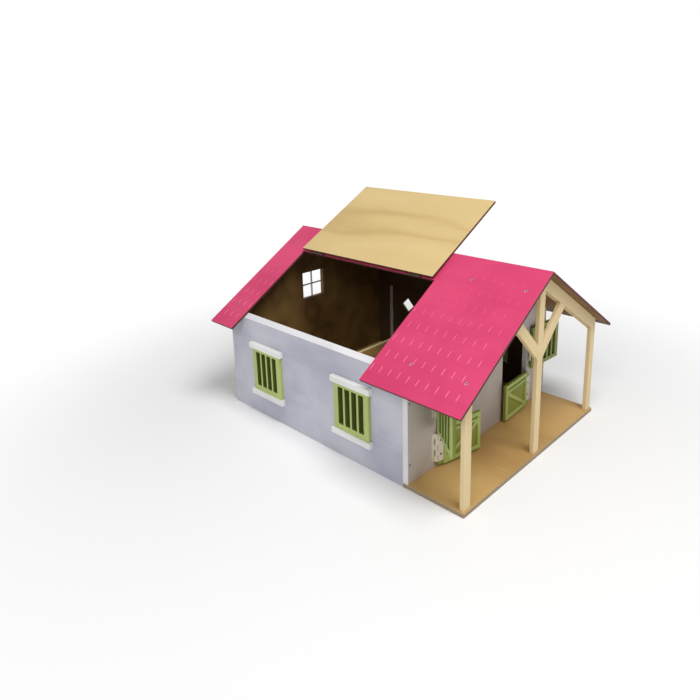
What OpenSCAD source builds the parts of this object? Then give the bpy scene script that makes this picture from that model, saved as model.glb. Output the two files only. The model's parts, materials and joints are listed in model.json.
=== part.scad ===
// Toy horse stable: two stalls behind a porch, a store room behind them,
// a gabled roof with a lift-up flap, Dutch stall doors and a store door.
// Millimetres. X is the width, Y the length with the porch at -Y, Z is up.
// The origin is at the middle of the footprint of the roof, on the floor.
// The model stands as it is played with: flap laid back over the ridge, upper door leaves swung out.

/* [Roof] */
// Length of the roof along the ridge
roof_len = 510; // [480:1:560]
// Width over both eaves
roof_w = 410; // [396:1:440]
// Height of the ridge above the floor
ridge_h = 278; // [266:1:300]
// Height of the top edge of the eaves
eave_h = 148.5; // [147:0.5:152]
// Thickness of the roof boards
roof_t = 4; // [3:0.5:4.5]
// Length of the fixed roof board over the porch and the front gable
front_panel_len = 161.5; // [150:0.5:180]
// Length of the fixed roof strip at the rear
rear_strip_len = 59; // [50:0.5:70]
// Width, down the slope, of the fixed strip that carries the flap
ridge_strip_w = 58; // [50:1:66]
// Gap round the flap when it is shut
flap_gap = 0.8; // [0.5:0.1:1.2]

/* [Walls and base] */
// How far the eaves reach beyond the side walls
eave_overhang = 26; // [22:1:32]
// How far the roof reaches beyond the front edge of the base
front_overhang = 11; // [8:1:16]
// How far the roof reaches beyond the rear gable
rear_overhang = 20; // [14:1:26]
// Depth of the porch, from the edge of the base to the front gable
porch_depth = 90; // [89:1:100]
// Thickness of the walls and gables
wall_t = 9; // [7:0.5:10]
// Thickness of the base board
base_t = 6; // [3:0.5:8]
// Width of the ridge batten
batten_w = 22; // [16:1:30]
// Height of the ridge batten below the roof boards
batten_h = 12; // [8:1:16]

/* [Stall partitions] */
// Thickness of the partitions
partition_t = 6; // [4:0.5:9]
// Height of the top edge of the partitions
partition_h = 112; // [90:1:120]
// Depth of the stalls behind the front gable
stall_depth = 175; // [150:1:200]

/* [Porch timber] */
// Width of the posts
post_w = 14; // [10:0.5:16]
// Thickness of the posts and braces, front to rear
post_d = 6.5; // [5:0.5:12]
// Distance from the front edge of the base to the posts
post_front_inset = 2.5; // [1:0.5:4]
// Distance from the side edge of the base to the side posts
post_side_inset = 3; // [1:0.5:5]
// Depth of the rafters, square to the slope
rafter_w = 17; // [14:0.5:20]
// Thickness of the rafters, front to rear
rafter_d = 12.5; // [8:0.5:14]
// Width of the braces
brace_w = 15; // [12:0.5:17]
// Height at which the middle lines of the braces meet
brace_foot_h = 154.5; // [150:0.5:175]

/* [Stall doors] */
// Distance from the middle of the gable to the near jamb of a doorway
doorway_inner = 46; // [42:0.5:52]
// Width of a doorway
doorway_w = 73.5; // [68:0.5:76]
// Height of the top of a doorway
doorway_top = 138; // [130:1:142]
// How far a leaf laps over the jamb on its free side
leaf_lap = 3; // [2:0.5:4]
// Height of the bottom edge of the lower leaves
leaf_bottom = 9.5; // [7:0.5:12]
// Height of a lower leaf
lower_leaf_h = 58.5; // [54:0.5:64]
// Height of an upper leaf
upper_leaf_h = 71; // [66:0.5:72]
// Gap between a lower and an upper leaf
leaf_gap = 1; // [1:0.5:3]
// Width of the slots in the upper leaves
leaf_slot_w = 8; // [6:0.5:10]
// Width of the bars between them
leaf_bar_w = 5; // [4:0.5:6]
// Thickness of the leaf boards
leaf_t = 4; // [3:0.5:4.5]
// Thickness of the strips glued on the leaves
trim_t = 2; // [1.5:0.25:2.25]
// Width of the strips glued on the leaves
trim_w = 6; // [4:0.5:8]
// Cut corner of the lower leaves, above the hinge
leaf_corner = 7; // [4:0.5:8]
// Opening angle of the left lower leaf as shown
left_lower_angle = 12; // [0:1:90]
// Opening angle of the left upper leaf as shown
left_upper_angle = 127; // [0:1:176]
// Opening angle of the right lower leaf as shown
right_lower_angle = 3; // [0:1:90]
// Opening angle of the right upper leaf as shown
right_upper_angle = 176; // [0:1:176]

/* [Store door] */
// Distance from the rear gable to the rear jamb of the store doorway
store_rear = 31; // [24:1:36]
// Width of the store doorway
store_w = 80; // [66:1:84]
// Height of the top of the store doorway
store_top = 134; // [120:1:136]
// Height of the top edge of the store door
store_leaf_top = 138; // [137:0.5:140]
// Width of the diamond hole, corner to corner
diamond_w = 29; // [20:1:34]
// Height of the middle of the diamond hole
diamond_h = 98; // [90:1:108]

/* [Windows] */
// Width of the barred window frames
window_w = 68.5; // [60:0.5:80]
// Height of the barred window frames
window_h = 70.5; // [60:0.5:74]
// Height of the bottom edge of the frames
window_bottom = 44.5; // [38:0.5:48]
// Middle of the front windows, behind the front gable face
front_window_y = 101; // [90:1:110]
// Middle of the rear window, in front of the rear gable face
rear_window_y = 96; // [88:1:106]
// Number of slots in a frame
slot_n = 4; // [3:1:5]
// Width of a slot
slot_w = 9.5; // [8:0.5:11]
// Width of the bars between the slots
bar_w = 4; // [3.5:0.5:6]
// Width of the rail below the slots
rail_w = 8.5; // [7:0.5:12]
// Width of the rail above the slots
top_rail_w = 5; // [4:0.5:9]
// Thickness of the frames
frame_t = 9; // [6:0.5:10]
// How far the frames stand proud of the wall
frame_proud = 4.5; // [2:0.5:5.5]
// Length of the lintels and sills
sill_len = 77; // [74:1:90]
// Height of the lintels and sills
sill_h = 9.5; // [8:0.5:13]
// How far the lintels and sills stand proud of the wall
sill_proud = 7; // [4.5:0.5:8.5]
// Width and height of the small window in the rear gable
pane_w = 49; // [40:1:54]
// Sideways place of the small window
pane_x = -6; // [-12:1:12]
// Height of the middle of the small window
pane_h = 172; // [166:1:176]
// Width of its glazing bars
glazing_w = 2.5; // [2:0.5:4]
// Thickness of its glazing bars
glazing_t = 4; // [3:0.5:5]

/* [Hinges and screws] */
// Length of a stall hinge
hinge_len = 42.5; // [38:0.5:50]
// Distance from the bottom edge of a lower leaf to its hinge
hinge_rise = 6.5; // [3:0.5:8]
// Width of the hinge plates on the leaves
hinge_plate_w = 9; // [7:0.5:10]
// Width of the hinge plates on the walls
wall_plate_w = 4.5; // [4:0.5:9]
// Thickness of the hinge plates
hinge_plate_t = 1; // [0.8:0.1:1.2]
// Radius of the stall hinge knuckles
knuckle_r = 1.7; // [1.5:0.1:1.8]
// Diameter of the hinge pins
pin_d = 1.5; // [1.2:0.1:1.7]
// Gap between neighbouring knuckles
knuckle_gap = 0.5; // [0.3:0.1:0.8]
// Length of a flap hinge
flap_hinge_len = 26; // [20:1:32]
// Distance from the ends of the flap to its hinges
flap_hinge_inset = 38; // [25:1:60]
// Radius of the flap hinge knuckles
flap_knuckle_r = 1.5; // [1.3:0.1:1.6]
// Diameter of the roof screw heads
roof_screw_d = 5; // [4:0.25:6]
// Distance of the upper roof screws from the ridge, down the slope
roof_screw_up = 42; // [34:1:48]
// Distance of the lower roof screws from the ridge, down the slope
roof_screw_down = 197; // [180:1:204]
// Diameter of the small screw heads in hinges and gables
small_screw_d = 3.4; // [3:0.1:4]
// Height of the lower screw at each corner of the front gable
gable_screw_low = 34; // [25:1:45]
// Height of the upper screw at each corner of the front gable
gable_screw_high = 122; // [100:1:130]

/* [Fits] */
// Gap between the roof boards and the walls under them
seat_gap = 0.3; // [0.2:0.05:0.5]
// Gap between a shut leaf and the wall behind it
leaf_clear = 0.4; // [0.3:0.05:0.6]
// Gap round a frame in its wall opening
frame_clear = 0.15; // [0.1:0.05:0.3]
// Gap between a pin and its bore
pin_clear = 0.1; // [0.05:0.01:0.1]
// Gap between the flap, laid back, and the ridge
ridge_clear = 0.3; // [0.3:0.05:1]

/* [Hidden] */
$fn = 36;
eps = 0.5;

// Colours
pink = [0.88, 0.29, 0.47];
lavender = [0.72, 0.71, 0.77];
cream = [0.93, 0.92, 0.87];
green = [0.66, 0.76, 0.42];
pine = [0.87, 0.78, 0.60];
plywood = [0.80, 0.66, 0.44];
steel = [0.60, 0.60, 0.60];
dark_steel = [0.25, 0.24, 0.23];

// Roof geometry in the XZ plane
half_roof = roof_w / 2;
pitch = atan((ridge_h - eave_h) / half_roof);
slope_len = half_roof / cos(pitch);
soffit_h = ridge_h - roof_t / cos(pitch);
rafter_drop = rafter_w / cos(pitch);

// Places along Y
roof_front = -roof_len / 2;
roof_rear = roof_len / 2;
base_front = roof_front + front_overhang;
gable_face = base_front + porch_depth;
side_front = gable_face + wall_t;
rear_face = roof_rear - rear_overhang;
side_rear = rear_face - wall_t;
flap_open_front = roof_front + front_panel_len;
flap_open_rear = roof_rear - rear_strip_len;
stall_rear = side_front + stall_depth;
half_house = half_roof - eave_overhang;
inner_x = half_house - wall_t;

// Stall leaves, measured from the gable face outwards and from their hinge axis inwards
hinge_off = leaf_clear + (leaf_t + 2 * hinge_plate_t) / 2;
hinge_x = doorway_inner + doorway_w + leaf_lap + 0.5;
hinge_y = gable_face - hinge_off;
leaf_edge = knuckle_r + 0.4;
leaf_reach = hinge_x - doorway_inner + leaf_lap;
upper_bottom = leaf_bottom + lower_leaf_h + leaf_gap;
plate_start = knuckle_r + 0.1;

// Store door, hinged at its rear edge on the outside of the right wall
store_jamb_rear = side_rear - store_rear;
store_hinge_y = store_jamb_rear + leaf_lap + 2;
store_hinge_x = half_house + hinge_off;
store_reach = store_w + 2 * leaf_lap + 2;

// Flap hinge axis, above the seam between the ridge strip and the flap
flap_axis_s = ridge_strip_w + flap_gap / 2;
flap_axis_n = flap_knuckle_r + 0.1;
flap_angle = 180 + asin((2 * flap_axis_n - ridge_clear) / flap_axis_s);
flap_len = flap_open_rear - flap_open_front - 2 * flap_gap;

// Left roof slope: distance s down the slope from the ridge and n outwards from the top face
function slope_pt(s, n) = [-s * cos(pitch) - n * sin(pitch), ridge_h - s * sin(pitch) + n * cos(pitch)];
// Height of the underside of the roof boards at distance x from the middle
function soffit(x) = soffit_h - abs(x) * tan(pitch);
// Height of the lower edge of the rafters at distance x from the middle
function rafter_low(x) = soffit(x) - seat_drop - rafter_drop;
seat_drop = seat_gap / cos(pitch);

// Helpers
module along_y(y0, y1) {
    translate([0, y1, 0]) rotate([90, 0, 0]) linear_extrude(y1 - y0) children();
}
module on_both_sides() {
    children();
    mirror([1, 0, 0]) children();
}
// Roof board of the left slope, from s0 to s1 down the slope; a board from the ridge has a plumb mitre
module slope_board(s0, s1, y0, y1) {
    mitre = [[0, soffit_h], [0, ridge_h]];
    square_cut = [slope_pt(s0, -roof_t), slope_pt(s0, 0)];
    along_y(y0, y1) polygon(concat(s0 == 0 ? mitre : square_cut, [slope_pt(s1, 0), slope_pt(s1, -roof_t)]));
}
// Countersunk screw with its head sunk below the origin and its shank towards -Z, and the hole for it
module screw(d, sink, len) {
    translate([0, 0, -sink - screw_head]) cylinder(h = screw_head, d1 = d / 2, d2 = d);
    translate([0, 0, -sink - len]) cylinder(h = len - screw_head / 2, d = d / 2);
}
module screw_hole(d, sink, len) {
    wide = d + 2 * screw_clear;
    translate([0, 0, -sink]) cylinder(h = sink + eps, d = wide);
    translate([0, 0, -sink - screw_head]) cylinder(h = screw_head + 0.01, d1 = wide - d / 2, d2 = wide);
    translate([0, 0, -sink - len - screw_clear]) cylinder(h = len, d = wide - d / 2);
}
module on_slope(s, y, side = -1) {
    p = slope_pt(s, 0);
    translate([-side * p[0], y, p[1]]) rotate([0, side * pitch, 0]) children();
}
screw_rows = [base_front + post_front_inset + rafter_d / 2, gable_face + wall_t / 2];
rear_screw_row = [rear_face - wall_t / 2];
screw_head = 1.6;
screw_clear = 0.1;
screw_sink = 0.6;
roof_screw_len = 9;
gable_screw_len = 12;
module roof_screw_places(side, ys) {
    for (y = ys, s = [roof_screw_up, roof_screw_down]) on_slope(s, y, side) children();
}
module roof_screw() { screw(roof_screw_d, screw_sink, roof_screw_len); }
module roof_screw_hole() { screw_hole(roof_screw_d, screw_sink, roof_screw_len); }
module roof_screw_holes(ys) {
    for (side = [-1, 1]) roof_screw_places(side, ys) roof_screw_hole();
}

// Base: full width under the porch and the front gable, between the side walls behind them
module base_plate() {
    color(plywood) linear_extrude(base_t) polygon([
        [-half_house, base_front], [half_house, base_front], [half_house, side_front],
        [inner_x, side_front], [inner_x, side_rear], [-inner_x, side_rear],
        [-inner_x, side_front], [-half_house, side_front]
    ]);
}

// Side walls, their top edge planed to the slope of the roof
module side_wall_blank() {
    along_y(side_front, side_rear) polygon([
        [-half_house, 0], [-inner_x, 0],
        [-inner_x, soffit(inner_x) - seat_drop], [-half_house, soffit(half_house) - seat_drop]
    ]);
}
module window_hole(y) {
    translate([-half_house - eps, y - window_w / 2 - frame_clear, window_bottom - frame_clear])
        cube([wall_t + 2 * eps, window_w + 2 * frame_clear, window_h + 2 * frame_clear]);
}
front_window = gable_face + front_window_y;
rear_window = rear_face - rear_window_y;
module left_wall() {
    color(lavender) difference() {
        side_wall_blank();
        window_hole(front_window);
        window_hole(rear_window);
        gable_screw_places() gable_screw_hole();
    }
}
module right_wall() {
    color(lavender) mirror([1, 0, 0]) difference() {
        side_wall_blank();
        window_hole(front_window);
        translate([-half_house - eps, store_jamb_rear - store_w, -eps])
            cube([wall_t + 2 * eps, store_w, store_top + eps]);
        gable_screw_places() gable_screw_hole();
    }
}
module gable_outline(z0) {
    polygon([
        [-half_house, z0], [half_house, z0], [half_house, soffit(half_house) - seat_drop],
        [0, soffit(0) - seat_drop], [-half_house, soffit(half_house) - seat_drop]
    ]);
}
gable_screw_x = half_house - wall_t / 2;
module gable_screw_places() {
    for (x = [-gable_screw_x, gable_screw_x], z = [gable_screw_low, gable_screw_high])
        translate([x, gable_face, z]) rotate([90, 0, 0]) children();
}
module gable_screw_hole() { screw_hole(small_screw_d, screw_sink, gable_screw_len); }
module front_gable() {
    color(lavender) difference() {
        along_y(gable_face, side_front) gable_outline(base_t);
        on_both_sides() translate([doorway_inner, gable_face - eps, base_t - eps])
            cube([doorway_w, wall_t + 2 * eps, doorway_top - base_t + eps]);
        gable_screw_places() gable_screw_hole();
        roof_screw_holes([screw_rows[1]]);
    }
}
module rear_gable() {
    color(lavender) difference() {
        along_y(side_rear, rear_face) gable_outline(0);
        translate([pane_x - pane_w / 2, side_rear - eps, pane_h - pane_w / 2])
            cube([pane_w, wall_t + 2 * eps, pane_w]);
        roof_screw_holes(rear_screw_row);
    }
}
module rear_window_cross() {
    bar_y = rear_face - glazing_t - 1;
    color(cream) translate([pane_x, bar_y, pane_h]) {
        translate([-pane_w / 2, 0, -glazing_w / 2]) cube([pane_w, glazing_t, glazing_w]);
        translate([-glazing_w / 2, 0, -pane_w / 2]) cube([glazing_w, glazing_t, pane_w]);
    }
}

// Partitions of the stalls
module stall_divider() {
    color(plywood) translate([-partition_t / 2, side_front, base_t])
        cube([partition_t, stall_depth, partition_h - base_t]);
}
module stall_back_wall() {
    color(plywood) translate([-inner_x, stall_rear, base_t])
        cube([2 * inner_x, partition_t, partition_h - base_t]);
}
module ridge_batten() {
    half = batten_w / 2;
    color(pine) along_y(side_front, side_rear) polygon([
        [-half, soffit(half) - batten_h], [half, soffit(half) - batten_h], [half, soffit(half)],
        [0, soffit(0)], [-half, soffit(half)]
    ]);
}

// Porch timber
post_front = base_front + post_front_inset;
post_rear = post_front + post_d;
post_out = half_house - post_side_inset;
post_in = post_out - post_w;
module side_post() {
    along_y(post_front, post_rear) polygon([
        [post_in, base_t], [post_out, base_t],
        [post_out, rafter_low(post_out)], [post_in, rafter_low(post_in)]
    ]);
}
module right_post() { color(pine) side_post(); }
module left_post() { mirror([1, 0, 0]) right_post(); }
module centre_post() {
    half = post_w / 2;
    color(pine) along_y(post_front, post_rear) polygon([
        [-half, base_t], [half, base_t],
        [half, rafter_low(half)], [0, rafter_low(0)], [-half, rafter_low(half)]
    ]);
}
module rafter() {
    along_y(post_front, post_front + rafter_d) polygon([
        [0, rafter_low(0)], [post_out, rafter_low(post_out)],
        [post_out, soffit(post_out) - seat_drop], [0, soffit(0) - seat_drop]
    ]);
}
module right_rafter() {
    color(pine) difference() {
        rafter();
        roof_screw_places(1, [screw_rows[0]]) roof_screw_hole();
    }
}
module left_rafter() { mirror([1, 0, 0]) right_rafter(); }
brace_rise = brace_w / sqrt(2);
// Where a line that climbs at 45 degrees from height z at the middle meets the rafter
function brace_end(z) = (rafter_low(0) - z) / (1 + tan(pitch));
module brace() {
    low = brace_foot_h - brace_rise;
    high = brace_foot_h + brace_rise;
    half = post_w / 2;
    along_y(post_front, post_rear) polygon([
        [half, low + half], [brace_end(low), low + brace_end(low)],
        [brace_end(high), high + brace_end(high)], [half, high + half]
    ]);
}
module left_brace() { color(pine) mirror([1, 0, 0]) brace(); }
module right_brace() { color(pine) brace(); }

// Roof boards
module right_roof_panel() {
    color(pink) difference() {
        mirror([1, 0, 0]) slope_board(0, slope_len, roof_front, roof_rear);
        roof_screw_places(1, concat(screw_rows, rear_screw_row)) roof_screw_hole();
    }
}
module front_roof_panel() {
    color(pink) difference() {
        slope_board(0, slope_len, roof_front, flap_open_front);
        roof_screw_places(-1, screw_rows) roof_screw_hole();
    }
}
module rear_roof_strip() {
    color(pink) difference() {
        slope_board(0, slope_len, flap_open_rear, roof_rear);
        roof_screw_places(-1, rear_screw_row) roof_screw_hole();
    }
}
module ridge_roof_strip() {
    color(pink) slope_board(0, ridge_strip_w, flap_open_front, flap_open_rear);
}
module roof_screws() {
    color(dark_steel) {
        roof_screw_places(-1, concat(screw_rows, rear_screw_row)) roof_screw();
        roof_screw_places(1, concat(screw_rows, rear_screw_row)) roof_screw();
    }
}
module gable_screws() {
    color(dark_steel) gable_screw_places() screw(small_screw_d, screw_sink, gable_screw_len);
}

// Flap, modelled shut and then laid back over the ridge
module flap_hinge_places() {
    for (y = [flap_open_front + flap_hinge_inset, flap_open_rear - flap_hinge_inset])
        translate([0, y, 0]) children();
}
module laid_back() {
    a = slope_pt(flap_axis_s, flap_axis_n);
    translate([a[0], 0, a[1]]) rotate([0, flap_angle, 0]) translate([-a[0], 0, -a[1]]) children();
}
module roof_flap() {
    s0 = ridge_strip_w + flap_gap;
    color(pink) laid_back()
        slope_board(s0, slope_len, flap_open_front + flap_gap, flap_open_rear - flap_gap);
}
// Hinge in the frame of the flap axis: X down the slope, Y along the axis, Z outwards
module on_flap_axis() {
    a = slope_pt(flap_axis_s, flap_axis_n);
    translate([a[0], 0, a[1]]) rotate([0, 180 - pitch, 0]) mirror([0, 0, 1]) children();
}
flap_knuckle = flap_hinge_len / 3;
flap_plate_w = 9;
flap_plate_t = 0.8;
flap_plate_start = flap_knuckle_r + 0.4;
flap_web_t = 1.5;
// One half of a flap hinge, its plate down the slope from the axis and its knuckles at the given places
module flap_hinge_half(knuckle_spans) {
    half = flap_hinge_len / 2;
    for (span = knuckle_spans) {
        translate([0, span[1], 0]) rotate([90, 0, 0]) difference() {
            cylinder(h = span[1] - span[0], r = flap_knuckle_r);
            translate([0, 0, -eps]) cylinder(h = span[1] - span[0] + 2 * eps, d = pin_d + 2 * pin_clear);
        }
        translate([flap_plate_start + 0.5 - flap_web_t, span[0], -flap_axis_n])
            cube([flap_web_t, span[1] - span[0], flap_axis_n - pin_d / 2 - pin_clear]);
    }
    translate([flap_plate_start, -half, -flap_axis_n])
        cube([flap_plate_w - flap_plate_start, flap_hinge_len, flap_plate_t]);
}
module flap_hinge_roof_plates() {
    half = flap_hinge_len / 2;
    color(steel) on_flap_axis() flap_hinge_places() mirror([1, 0, 0])
        flap_hinge_half([[-half, -half + flap_knuckle], [half - flap_knuckle, half]]);
}
module flap_hinge_leaves() {
    half = flap_knuckle / 2 - knuckle_gap;
    color(steel) laid_back() on_flap_axis() flap_hinge_places() flap_hinge_half([[-half, half]]);
}

// Barred panel in the XZ plane with its lower corner at the origin: width w, height h
module slots(x0, z0, w, h, bar) {
    for (i = [0:slot_n - 1]) translate([x0 + i * (w + bar), z0]) square([w, h]);
}
function slots_w(w, bar) = slot_n * w + (slot_n - 1) * bar;

// Windows of the left wall; the right one is their mirror image
module on_left_wall(y) {
    translate([-half_house, y, 0]) rotate([0, 0, -90]) children();
}
module window_frame(y) {
    color(green) on_left_wall(y) translate([-window_w / 2, frame_t - frame_proud, window_bottom])
        rotate([90, 0, 0]) linear_extrude(frame_t) difference() {
            square([window_w, window_h]);
            slots((window_w - slots_w(slot_w, bar_w)) / 2, rail_w, slot_w,
                window_h - rail_w - top_rail_w, bar_w);
        }
}
module sill_board(y, z) {
    cut = 0.8;
    color(cream) translate([-half_house, y - sill_len / 2, z]) rotate([-90, 0, 0]) linear_extrude(sill_len)
        polygon([[0, 0], [0, -sill_h], [cut - sill_proud, -sill_h], [-sill_proud, cut - sill_h],
                 [-sill_proud, -cut], [cut - sill_proud, 0]]);
}
window_top = window_bottom + window_h;
module left_rear_window_frame() { window_frame(rear_window); }
module left_front_window_frame() { window_frame(front_window); }
module right_window_frame() { mirror([1, 0, 0]) window_frame(front_window); }
module left_rear_lintel() { sill_board(rear_window, window_top); }
module left_front_lintel() { sill_board(front_window, window_top); }
module right_lintel() { mirror([1, 0, 0]) sill_board(front_window, window_top); }
module left_rear_sill() { sill_board(rear_window, window_bottom - sill_h); }
module left_front_sill() { sill_board(front_window, window_bottom - sill_h); }
module right_sill() { mirror([1, 0, 0]) sill_board(front_window, window_bottom - sill_h); }

// Leaves and hinges in the frame of their axis: X from the axis to the free edge, Y into the wall, Z up.
// The wall face lies at y = hinge_off and the back of a shut leaf a little in front of it.
leaf_back = hinge_off - leaf_clear;
leaf_front = leaf_back - leaf_t;
module leaf_board(reach, z0, h, corner = 0) {
    top = corner == 0 ? [[leaf_edge, h]] : [[leaf_edge + corner, h], [leaf_edge, h - corner]];
    translate([0, leaf_back, z0]) rotate([90, 0, 0]) linear_extrude(leaf_t)
        polygon(concat([[leaf_edge, 0], [reach, 0], [reach, h]], top));
}
leaf_rail_w = trim_w + 1;
function leaf_slots_x(reach) = reach - leaf_rail_w - 2 - slots_w(leaf_slot_w, leaf_bar_w);
module leaf_slots(x0, h) { slots(x0, leaf_rail_w, leaf_slot_w, h - 2 * leaf_rail_w, leaf_bar_w); }
module barred_leaf(reach, z0, h) {
    difference() {
        leaf_board(reach, z0, h);
        translate([leaf_slots_x(reach), leaf_back + eps, z0]) rotate([90, 0, 0])
            linear_extrude(leaf_t + 2 * eps) leaf_slots(0, h);
    }
}
// Strips glued on a leaf, from beside the hinge plate to the free edge
trim_x0 = plate_start + hinge_plate_w + 0.6;
module on_leaf_front(z0) {
    translate([trim_x0, leaf_front, z0]) rotate([90, 0, 0]) linear_extrude(trim_t) children();
}
module border(reach, z0, h) {
    w = reach - trim_x0;
    on_leaf_front(z0) difference() {
        square([w, h]);
        translate([trim_w, trim_w]) square([w - 2 * trim_w, h - 2 * trim_w]);
    }
}
// Border with a second rail under the top one and a brace from the foot of the hinge side to the free side
module braced_border(reach, z0, h) {
    w = reach - trim_x0;
    free = w - trim_w;
    groove = 0.6 * trim_w;
    rail_top = h - trim_w - groove;
    rail_foot = rail_top - 0.7 * trim_w;
    foot = 0.7 * trim_w;
    on_leaf_front(z0) difference() {
        square([w, h]);
        translate([trim_w, rail_top]) square([free - trim_w, groove]);
        polygon([[trim_w, trim_w + foot], [trim_w, rail_foot], [free - foot, rail_foot]]);
        polygon([[trim_w + foot, trim_w], [free, trim_w], [free, rail_foot - foot]]);
    }
}
// Stack of knuckles along Z with the webs that join them to their plate.
// Side 0 gives those of the wall plate, side 1 those of the leaf.
module knuckles(z0, len, count, side) {
    pitch_z = len / count;
    for (i = [side:2:count - 1]) translate([0, 0, z0 + i * pitch_z + knuckle_gap / 2]) difference() {
        cylinder(h = pitch_z - knuckle_gap, r = knuckle_r);
        translate([0, 0, -eps]) cylinder(h = pitch_z + 2 * eps, d = pin_d + 2 * pin_clear);
    }
}
web_in = 0.7;
web_out = knuckle_r - 0.3;
pin_side = pin_d / 2 + pin_clear;
// Webs in two steps: one beside the pin from y0 to y1 and, level with the plate, a wider one that meets it
module knuckle_webs(z0, len, count, side, y0, y1, plate_y) {
    pitch_z = len / count;
    for (i = [side:2:count - 1]) translate([web_in, 0, z0 + i * pitch_z + knuckle_gap / 2]) {
        translate([0, y0, 0]) cube([web_out - web_in, y1 - y0, pitch_z - knuckle_gap]);
        translate([0, plate_y, 0]) cube([plate_start + 0.2 - web_in, hinge_plate_t, pitch_z - knuckle_gap]);
    }
}
module wall_plate(z0, len, count) {
    plate_y = hinge_off - hinge_plate_t;
    knuckles(z0, len, count, 0);
    mirror([1, 0, 0]) {
        knuckle_webs(z0, len, count, 0, pin_side, hinge_off, plate_y);
        translate([plate_start, plate_y, z0]) cube([wall_plate_w, hinge_plate_t, len]);
    }
}
module leaf_plate(z0, len, count) {
    plate_y = leaf_front - hinge_plate_t;
    difference() {
        union() {
            knuckles(z0, len, count, 1);
            knuckle_webs(z0, len, count, 1, plate_y, -pin_side, plate_y);
            translate([plate_start, plate_y, z0]) cube([hinge_plate_w, hinge_plate_t, len]);
        }
        leaf_screw_places(z0, len) translate([0, 0, -leaf_t])
            cylinder(h = 2 * leaf_t, d = small_screw_d + 2 * screw_clear);
    }
}
module leaf_screw_places(z0, len) {
    for (z = [z0 + len * 0.25, z0 + len * 0.75])
        translate([plate_start + hinge_plate_w / 2, leaf_front - hinge_plate_t, z])
            rotate([90, 0, 0]) children();
}
module leaf_screws(z0, len) {
    leaf_screw_places(z0, len) translate([0, 0, -hinge_plate_t])
        cylinder(h = hinge_plate_t - 0.2, d = small_screw_d);
}
module pin(z0, len) {
    translate([0, 0, z0 + 0.2]) cylinder(h = len - 0.4, d = pin_d);
}

// Places of the leaves: the left doorway, and its mirror image for the right one
module left_hinge(angle) {
    translate([-hinge_x, hinge_y, 0]) rotate([0, 0, -angle]) children();
}
module right_hinge(angle) { mirror([1, 0, 0]) left_hinge(angle) children(); }
module store_hinge() {
    translate([store_hinge_x, store_hinge_y, 0]) mirror([1, 0, 0]) rotate([0, 0, -90]) children();
}
stall_knuckles = 5;
lower_hinge_z = leaf_bottom + hinge_rise;
upper_hinge_z = upper_bottom + (upper_leaf_h - hinge_len) / 2;
store_hinge_len = 30;
store_hinge_zs = [leaf_bottom + 14, store_leaf_top - 14 - store_hinge_len];

// The four kinds of piece that make a lower or an upper leaf
module lower_leaf() { color(green) leaf_board(leaf_reach, leaf_bottom, lower_leaf_h, leaf_corner); }
module upper_leaf() { color(green) barred_leaf(leaf_reach, upper_bottom, upper_leaf_h); }
module lower_trim() { color(green) braced_border(leaf_reach, leaf_bottom, lower_leaf_h); }
module upper_trim() {
    color(green) on_leaf_front(upper_bottom) difference() {
        square([leaf_reach - trim_x0, upper_leaf_h]);
        leaf_slots(leaf_slots_x(leaf_reach) - trim_x0, upper_leaf_h);
    }
}
module stall_leaf_plate(z0) { color(cream) leaf_plate(z0, hinge_len, stall_knuckles); }
module stall_leaf_screws(z0) { color(dark_steel) leaf_screws(z0, hinge_len); }

module left_lower_door() { left_hinge(left_lower_angle) lower_leaf(); }
module left_lower_door_trim() { left_hinge(left_lower_angle) lower_trim(); }
module left_lower_hinge_leaf() { left_hinge(left_lower_angle) stall_leaf_plate(lower_hinge_z); }
module left_lower_hinge_screws() { left_hinge(left_lower_angle) stall_leaf_screws(lower_hinge_z); }
module left_upper_door() { left_hinge(left_upper_angle) upper_leaf(); }
module left_upper_door_trim() { left_hinge(left_upper_angle) upper_trim(); }
module left_upper_hinge_leaf() { left_hinge(left_upper_angle) stall_leaf_plate(upper_hinge_z); }
module left_upper_hinge_screws() { left_hinge(left_upper_angle) stall_leaf_screws(upper_hinge_z); }
module right_lower_door() { right_hinge(right_lower_angle) lower_leaf(); }
module right_lower_door_trim() { right_hinge(right_lower_angle) lower_trim(); }
module right_lower_hinge_leaf() { right_hinge(right_lower_angle) stall_leaf_plate(lower_hinge_z); }
module right_lower_hinge_screws() { right_hinge(right_lower_angle) stall_leaf_screws(lower_hinge_z); }
module right_upper_door() { right_hinge(right_upper_angle) upper_leaf(); }
module right_upper_door_trim() { right_hinge(right_upper_angle) upper_trim(); }
module right_upper_hinge_leaf() { right_hinge(right_upper_angle) stall_leaf_plate(upper_hinge_z); }
module right_upper_hinge_screws() { right_hinge(right_upper_angle) stall_leaf_screws(upper_hinge_z); }
module stall_hinge_wall_plates() {
    color(cream) on_both_sides() left_hinge(0) {
        wall_plate(lower_hinge_z, hinge_len, stall_knuckles);
        wall_plate(upper_hinge_z, hinge_len, stall_knuckles);
    }
}

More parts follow.
